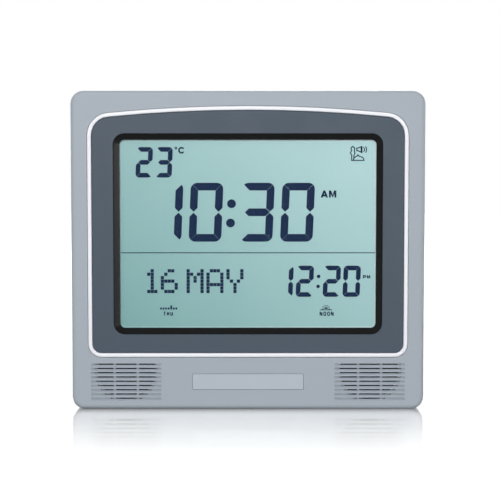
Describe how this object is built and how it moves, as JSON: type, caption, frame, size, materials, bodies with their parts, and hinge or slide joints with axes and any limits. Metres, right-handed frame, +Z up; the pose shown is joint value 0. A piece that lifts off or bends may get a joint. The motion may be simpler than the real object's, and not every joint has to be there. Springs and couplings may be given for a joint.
{
  "type": "azan clock",
  "caption": "Desk and wall prayer clock with an arched display panel, LCD, paired louvred speaker grilles, rear keys, hinged battery door and a fold-out stand.",
  "frame": {"origin": "middle of the underside, half way through the depth, on the surface the clock stands on", "axes": "+X along the width, to the right as seen from the front; +Y to the back; +Z up"},
  "size_m": [0.24, 0.039, 0.2165],
  "materials": {
    "silver_case": "satin silver-grey moulding",
    "slate_panel": "dark slate, satin",
    "white_trim": "near-white, glossy",
    "black_surround": "black, glossy",
    "clear_window": "clear window",
    "lcd_glass": "blue-green reflective display",
    "white_plastic": "white moulding",
    "contact_rubber": "layered contact rubber",
    "circuit_board": "green solder resist",
    "chip_black": "black",
    "bright_steel": "bright plated steel",
    "cone_paper": "black paper",
    "ferrite": "dark ferrite",
    "cell_sleeve": "plain blue sleeve",
    "key_plastic": "dark grey moulding",
    "ribbon_grey": "flat grey cable"
  },
  "bodies": {
    "case": {"front_bezel": "silver_case", "trim_ring": "white_trim", "fascia_panel": "slate_panel", "lcd_surround": "black_surround", "nameplate": "silver_case", "display_window": "clear_window", "display_frame": "white_plastic", "lcd_cell": "lcd_glass", "light_guide": "white_plastic", "backlight_strip": "circuit_board", "zebra_strip_lower": "contact_rubber", "zebra_strip_upper": "contact_rubber", "main_board": "circuit_board", "controller_blob": "chip_black", "memory_chip": "chip_black", "amplifier_chip": "chip_black", "quartz_crystal": "bright_steel", "reservoir_capacitor": "chip_black", "board_screw_1": "bright_steel", "board_screw_2": "bright_steel", "board_screw_3": "bright_steel", "board_screw_4": "bright_steel", "speaker_frame_left": "bright_steel", "speaker_cone_left": "cone_paper", "speaker_magnet_left": "ferrite", "speaker_frame_right": "bright_steel", "speaker_cone_right": "cone_paper", "speaker_magnet_right": "ferrite", "rear_cover": "silver_case", "case_screw_1": "bright_steel", "case_screw_2": "bright_steel", "case_screw_3": "bright_steel", "case_screw_4": "bright_steel", "battery_contact_upper_left": "bright_steel", "battery_contact_lower_left": "bright_steel", "battery_contact_upper_right": "bright_steel", "battery_contact_lower_right": "bright_steel", "battery_cell_1": "cell_sleeve", "battery_cell_2": "cell_sleeve", "battery_cell_3": "cell_sleeve", "key_board": "circuit_board", "key_board_screw_1": "bright_steel", "key_board_screw_2": "bright_steel", "tact_switch_1": "chip_black", "tact_switch_2": "chip_black", "tact_switch_3": "chip_black", "tact_switch_4": "chip_black", "tact_switch_5": "chip_black", "switch_body": "bright_steel", "ribbon_cable": "ribbon_grey"},
    "stand_leg": {"stand_leg": "key_plastic"},
    "battery_door": {"battery_door": "silver_case"},
    "set_key": {"set_key": "key_plastic"},
    "mode_key": {"mode_key": "key_plastic"},
    "up_key": {"up_key": "key_plastic"},
    "down_key": {"down_key": "key_plastic"},
    "light_key": {"light_key": "key_plastic"},
    "sound_switch_knob": {"sound_switch_knob": "key_plastic"}
  },
  "joints": [
    {"name": "stand_fold", "type": "hinge", "parent": "case", "child": "stand_leg", "pos_m": [0, 0.0163, 0.112], "axis": [1, 0, 0], "range_deg": [0, 30]},
    {"name": "battery_door_hinge", "type": "hinge", "parent": "case", "child": "battery_door", "pos_m": [0, 0.01745, 0.1249], "axis": [-1, 0, 0], "range_deg": [0, 90]},
    {"name": "set_key_press", "type": "slide", "parent": "case", "child": "set_key", "axis": [0, -1, 0], "range_m": [0, 0.0006], "stiffness_N_per_m": 1000, "springref_m": -0.0006},
    {"name": "mode_key_press", "type": "slide", "parent": "case", "child": "mode_key", "axis": [0, -1, 0], "range_m": [0, 0.0006], "stiffness_N_per_m": 1000, "springref_m": -0.0006},
    {"name": "up_key_press", "type": "slide", "parent": "case", "child": "up_key", "axis": [0, -1, 0], "range_m": [0, 0.0006], "stiffness_N_per_m": 1000, "springref_m": -0.0006},
    {"name": "down_key_press", "type": "slide", "parent": "case", "child": "down_key", "axis": [0, -1, 0], "range_m": [0, 0.0006], "stiffness_N_per_m": 1000, "springref_m": -0.0006},
    {"name": "light_key_press", "type": "slide", "parent": "case", "child": "light_key", "axis": [0, -1, 0], "range_m": [0, 0.0006], "stiffness_N_per_m": 1000, "springref_m": -0.0006},
    {"name": "sound_switch_slide", "type": "slide", "parent": "case", "child": "sound_switch_knob", "axis": [1, 0, 0], "range_m": [0, 0.004]}
  ]
}
